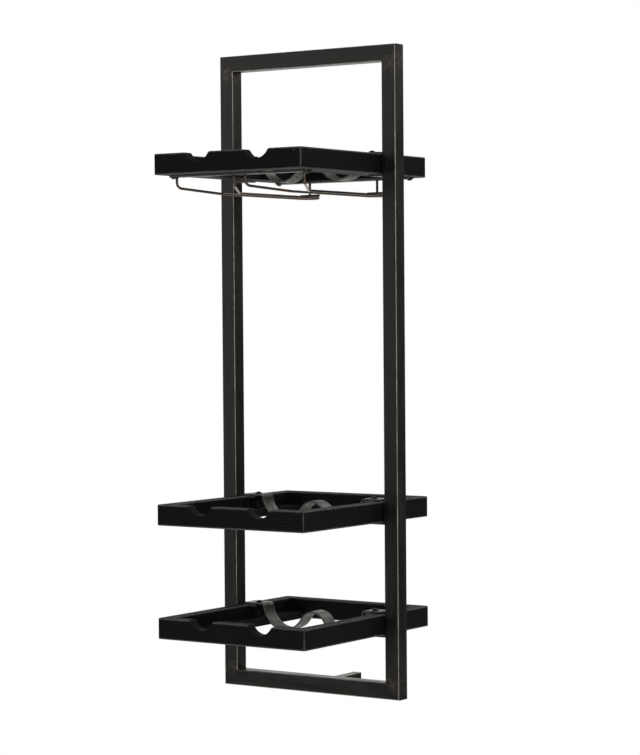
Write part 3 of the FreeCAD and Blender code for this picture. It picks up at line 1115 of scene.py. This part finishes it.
@dataclass
class StemwareRack:
    """Two strips and the wire rails that wine glasses hang from."""

    wire_radius: float = 0.002
    weld_radius: float = 0.0009

    def dress(self) -> None:
        """Finish the strips and the wires."""
        for order, node in enumerate(("stem_front_strip", "stem_rear_strip")):
            finish = HotRolledBar(node + "_rolled_steel", node_box(node), seed=70.0 + order,
                                  **DARK_BAR)
            dress(node, finish.build())
        for order, node in enumerate(("stem_rail_left", "stem_rail_right", "stem_hangers")):
            dress(node, DrawnWire(node + "_drawn_wire", seed=3.0 * order).build())

    def collar(self, centre: Vector, seed: int) -> WeldRun:
        """A small fillet of weld round the top of a post.

        Args:
            centre: Where the post meets its strip.
            seed: The run's own seed.

        Returns:
            The run.
        """
        steps = 16
        reach = self.wire_radius + 0.0002
        points = []
        for step in range(steps):
            angle = 2 * math.pi * step / steps
            points.append(centre + Vector((math.cos(angle), math.sin(angle), 0)) * reach)
        return WeldRun(points, self.weld_radius, 0.0012, 0.2, 0.0001, 10, seed, True)

    def add_welds(self) -> None:
        """Weld the posts to the strips."""
        runs = []
        for node in ("stem_rail_left", "stem_rail_right"):
            low, high = node_box(node)
            for x in (low.x + self.wire_radius, high.x - self.wire_radius):
                centre = Vector((x, low.y + self.wire_radius, high.z))
                runs.append(self.collar(centre, 80 + len(runs)))
        weld("stem_rack_welds", runs, "wire_steel")


# ------------------------------------------------------------------- studio

def direction(azimuth: float, elevation: float) -> Vector:
    """The way from the rack to something that stands round it.

    Args:
        azimuth: Degrees round from the front, towards the right.
        elevation: Degrees above the level.

    Returns:
        A vector of length one.
    """
    turn, rise = math.radians(azimuth), math.radians(elevation)
    return Vector((math.sin(turn) * math.cos(rise), -math.cos(turn) * math.cos(rise),
                   math.sin(rise)))


@dataclass(frozen=True)
class SoftBox:
    """A soft box that faces the rack's middle.

    The azimuth is in degrees round from the front towards the right, and the
    elevation in degrees above the middle. Lengths are in metres, power in watts.
    """

    name: str
    azimuth: float
    elevation: float
    distance: float
    width: float
    height: float
    power: float

    def hang(self) -> None:
        """Add the light to the scene."""
        low, high = CAD_BOUNDS
        middle = (Vector(low) + Vector(high)) / 2
        back = direction(self.azimuth, self.elevation)
        light = bpy.data.lights.new(self.name, "AREA")
        light.shape = "RECTANGLE"
        light.size, light.size_y = self.width, self.height
        light.energy = self.power
        stand = bpy.data.objects.new(self.name, light)
        stand.location = middle + back * self.distance
        stand.rotation_mode = "QUATERNION"
        stand.rotation_quaternion = (-back).to_track_quat("-Z", "Y")
        bpy.context.scene.collection.objects.link(stand)


@dataclass
class Studio:
    """A plain pale floor, a pale surround and soft lights."""

    floor_drop: float = 1.0
    floor_radius: float = 3.0
    floor_glow: float = 0.3
    floor_sides: int = 96
    surround_radius: float = 36.0
    surround_rings: int = 24
    surround_slices: int = 48
    ambient: float = 0.06
    pale: str = "f4f4f2"
    soft_boxes: tuple[SoftBox, ...] = (
        SoftBox("left_soft_box", -40.0, 12.0, 3.2, 1.6, 2.4, 5.5),
        SoftBox("right_soft_box", 118.0, 10.0, 3.2, 1.4, 2.4, 5.0),
        SoftBox("overhead_soft_box", 20.0, 74.0, 2.6, 1.8, 1.8, 20.0),
        SoftBox("rear_soft_box", 162.0, 34.0, 3.0, 2.4, 1.6, 13.0),
        SoftBox("edge_strip", 47.0, 6.0, 3.4, 0.35, 2.4, 16.0),
        SoftBox("backdrop_panel", -145.7, 0.0, 2.6, 2.6, 2.0, 17.0),
    )

    def build(self) -> None:
        """Add the floor, the surround and the lights, and set the view transform."""
        bpy.context.scene.view_settings.view_transform = "Standard"
        self.add_floor()
        self.add_surround()
        for soft_box in self.soft_boxes:
            soft_box.hang()
        LOG.info("studio is ready with %d soft boxes", len(self.soft_boxes))

    def add_floor(self) -> None:
        """Lay the floor below the rack."""
        low, _ = CAD_BOUNDS
        surface = Surface("floor_matte_resin")
        speckle = surface.cloud((600.0, 600.0, 600.0), 2.0)
        colour = surface.blend(speckle, linear(self.pale), linear("ffffff"))
        material = surface.shade({"Base Color": colour, "Roughness": 0.9,
                                  "Specular IOR Level": 0.1,
                                  "Emission Color": colour,
                                  "Emission Strength": self.floor_glow})
        corners = []
        for step in range(self.floor_sides):
            angle = 2 * math.pi * step / self.floor_sides
            corners.append((self.floor_radius * math.cos(angle),
                            self.floor_radius * math.sin(angle), low[2] - self.floor_drop))
        mesh = bpy.data.meshes.new("floor")
        mesh.from_pydata(corners, [], [tuple(range(self.floor_sides))])
        mesh.materials.append(material)
        floor = bpy.data.objects.new("floor", mesh)
        bpy.context.scene.collection.objects.link(floor)

    def add_surround(self) -> None:
        """Set the pale surround and the dim studio light that comes from it."""
        world = bpy.data.worlds.new("studio")
        world.use_nodes = True
        tree = world.node_tree
        tree.nodes.clear()
        background = add_node(tree, "ShaderNodeBackground", {},
                              {"Color": linear("ffffff"), "Strength": self.ambient})
        add_node(tree, "ShaderNodeOutputWorld", {}, {"Surface": background.outputs[0]})
        bpy.context.scene.world = world
        surface = bpy.data.materials.new("surround_white")
        surface.use_nodes = True
        nodes = surface.node_tree
        nodes.nodes.clear()
        glow = add_node(nodes, "ShaderNodeEmission", {},
                        {"Color": linear("ffffff"), "Strength": 1.0})
        add_node(nodes, "ShaderNodeOutputMaterial", {}, {"Surface": glow.outputs[0]})
        dome = self.dome(surface)
        # The surround is only seen: it lights nothing and shows in no metal.
        dome.visible_diffuse = False
        dome.visible_glossy = False
        dome.visible_transmission = False
        dome.visible_shadow = False

    def dome(self, material: bpy.types.Material) -> bpy.types.Object:
        """A great ball round the studio.

        Args:
            material: Its finish.

        Returns:
            The ball, in the scene.
        """
        radius = self.surround_radius
        rings, slices = self.surround_rings, self.surround_slices
        corners = [(0.0, 0.0, radius)]
        for ring in range(1, rings):
            polar = math.pi * ring / rings
            for step in range(slices):
                turn = 2 * math.pi * step / slices
                corners.append((radius * math.sin(polar) * math.cos(turn),
                                radius * math.sin(polar) * math.sin(turn),
                                radius * math.cos(polar)))
        corners.append((0.0, 0.0, -radius))
        faces: list[tuple[int, ...]] = []
        last = len(corners) - 1
        for step in range(slices):
            beside = (step + 1) % slices
            faces.append((0, 1 + beside, 1 + step))
            low = 1 + (rings - 2) * slices
            faces.append((last, low + step, low + beside))
            for ring in range(rings - 2):
                here = 1 + ring * slices
                there = here + slices
                faces.append((here + step, here + beside, there + beside, there + step))
        mesh = bpy.data.meshes.new("surround")
        mesh.from_pydata(corners, [], faces)
        mesh.materials.append(material)
        dome = bpy.data.objects.new("surround", mesh)
        bpy.context.scene.collection.objects.link(dome)
        return dome


@dataclass
class ViewPoint:
    """The camera: where it stands, what it aims at and its lens."""

    azimuth: float = 34.297
    elevation: float = 1.503
    roll: float = -0.42
    distance: float = 3.823
    aim_right: float = 0.0236
    aim_height: float = 0.4922
    lens: float = 117.44
    sensor_width: float = 36.0
    clip_end: float = 500.0

    def build(self) -> None:
        """Add the camera and make it the scene's."""
        left = node_box("upright_left")
        right = node_box("upright_right")
        aim = Vector(((left[0].x + right[1].x) / 2 + self.aim_right, left[0].y,
                      left[0].z + self.aim_height))
        turn = math.radians(self.azimuth)
        back = direction(self.azimuth, self.elevation)
        aside = Vector((math.cos(turn), math.sin(turn), 0.0))
        upward = back.cross(aside)
        tilt = math.radians(self.roll)
        rolled_aside = aside * math.cos(tilt) + upward * math.sin(tilt)
        rolled_up = upward * math.cos(tilt) - aside * math.sin(tilt)
        camera = bpy.data.cameras.new("camera")
        camera.lens = self.lens
        camera.sensor_width = self.sensor_width
        camera.clip_end = self.clip_end
        stand = bpy.data.objects.new("camera", camera)
        axes = Matrix((rolled_aside, rolled_up, back)).transposed()
        stand.matrix_world = Matrix.Translation(aim + back * self.distance) @ axes.to_4x4()
        bpy.context.scene.collection.objects.link(stand)
        bpy.context.scene.camera = stand


def main() -> None:
    """Build and dress the rack, the studio and the camera."""
    logging.basicConfig(level=logging.INFO, format="%(name)s: %(message)s")
    parts: list[Any] = [TubeFrame(), WallArm()]
    parts += [Tray(level) for level in Level]
    parts += [StemwareRack()]
    for part in parts:
        part.dress()
        part.add_welds()
    Fasteners().dress()
    Studio().build()
    ViewPoint().build()


if __name__ == "__main__":
    main()
